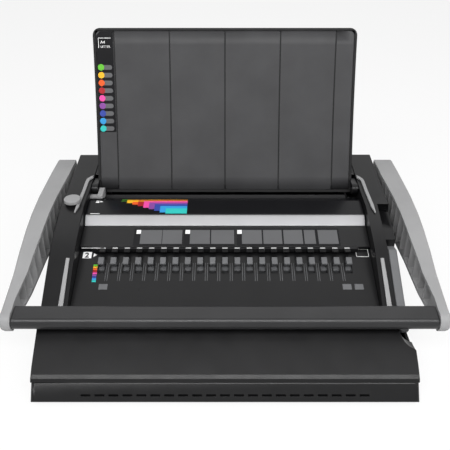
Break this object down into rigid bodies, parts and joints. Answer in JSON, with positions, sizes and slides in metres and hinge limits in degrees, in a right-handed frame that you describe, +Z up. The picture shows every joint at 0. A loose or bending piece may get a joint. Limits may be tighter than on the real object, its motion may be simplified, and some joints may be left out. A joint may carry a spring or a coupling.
{
  "type": "comb binding machine",
  "caption": "Desktop comb binder with an open lid as paper support, a vertical punch throat, a U-shaped punching handle, a comb rake with its lever, and a chip drawer.",
  "frame": {"origin": "middle of the footprint, on the table", "axes": "+X to the machine's right, +Y to its back, +Z up"},
  "size_m": [0.463, 0.3535, 0.2924],
  "materials": {
    "case": "fine-grained black moulded plastic",
    "panel": "charcoal moulded plastic",
    "pale_plastic": "matte light grey moulded plastic",
    "silver": "silver painted trim",
    "steel": "plain zinc-plated steel",
    "rubber": "soft black rubber"
  },
  "bodies": {
    "base": {"base_pan": "case", "front_cover": "case", "left_side_cover": "case", "right_side_cover": "case", "rear_cover": "case", "housing_top": "case", "instruction_panel": "case", "comb_deck": "case", "finger_plate": "case", "paper_stop": "panel", "left_rear_trim": "pale_plastic", "right_rear_trim": "pale_plastic", "left_front_trim": "pale_plastic", "right_front_trim": "pale_plastic", "left_shaft_bush": "pale_plastic", "right_shaft_bush": "pale_plastic", "silver_bar": "silver", "front_die_plate": "steel", "rear_die_plate": "steel", "left_side_frame": "steel", "right_side_frame": "steel", "left_guide_rod": "steel", "right_guide_rod": "steel", "left_lid_pin": "steel", "right_lid_pin": "steel", "foot_1": "rubber", "foot_2": "rubber", "foot_3": "rubber", "foot_4": "rubber"},
    "lid": {"lid_shell": "case", "lid_panel": "panel"},
    "handle": {"left_arm": "pale_plastic", "right_arm": "pale_plastic", "grip_bar": "panel", "pivot_shaft": "steel", "left_cam": "steel", "right_cam": "steel", "left_pivot_cap": "panel", "right_pivot_cap": "panel"},
    "punch": {"punch_bar": "steel"},
    "lever": {"comb_lever": "panel", "lever_shaft": "steel", "left_crank": "steel", "right_crank": "steel"},
    "rake": {"comb_rake": "pale_plastic"},
    "knob": {"guide_knob": "pale_plastic", "knob_pinion": "panel"},
    "guide": {"edge_guide": "pale_plastic"},
    "tray": {"chip_tray": "panel"}
  },
  "joints": [
    {"name": "lid_hinge", "type": "hinge", "parent": "base", "child": "lid", "pos_m": [0, 0.08484, 0.11065], "axis": [1, 0, 0], "range_deg": [0, 129.3]},
    {"name": "handle_hinge", "type": "hinge", "parent": "base", "child": "handle", "pos_m": [0, 0.128, 0.07], "axis": [-1, 0, 0], "range_deg": [0, 78]},
    {"name": "punch_slide", "type": "slide", "parent": "base", "child": "punch", "axis": [0, 0.9285, -0.3714], "range_m": [0, 0.01052]},
    {"name": "lever_hinge", "type": "hinge", "parent": "base", "child": "lever", "pos_m": [0, -0.026, 0.025], "axis": [1, 0, 0], "range_deg": [0, 20]},
    {"name": "rake_slide", "type": "slide", "parent": "base", "child": "rake", "axis": [0, -0.9511, -0.309], "range_m": [0, 0.01202]},
    {"name": "knob_turn", "type": "hinge", "parent": "base", "child": "knob", "pos_m": [-0.186, 0.039, 0.118], "axis": [0, 0, -1], "range_deg": [0, 90]},
    {"name": "guide_slide", "type": "slide", "parent": "base", "child": "guide", "axis": [1, 0, 0], "range_m": [0, 0.009]},
    {"name": "tray_slide", "type": "slide", "parent": "base", "child": "tray", "axis": [-1, 0, 0], "range_m": [0, 0.2]}
  ],
  "couplings": [
    {"joint": "punch_slide", "follows": "handle_hinge", "m_per_rad": 0.0077129},
    {"joint": "rake_slide", "follows": "lever_hinge", "m_per_rad": 0.034377},
    {"joint": "guide_slide", "follows": "knob_turn", "m_per_rad": 0.0057}
  ]
}
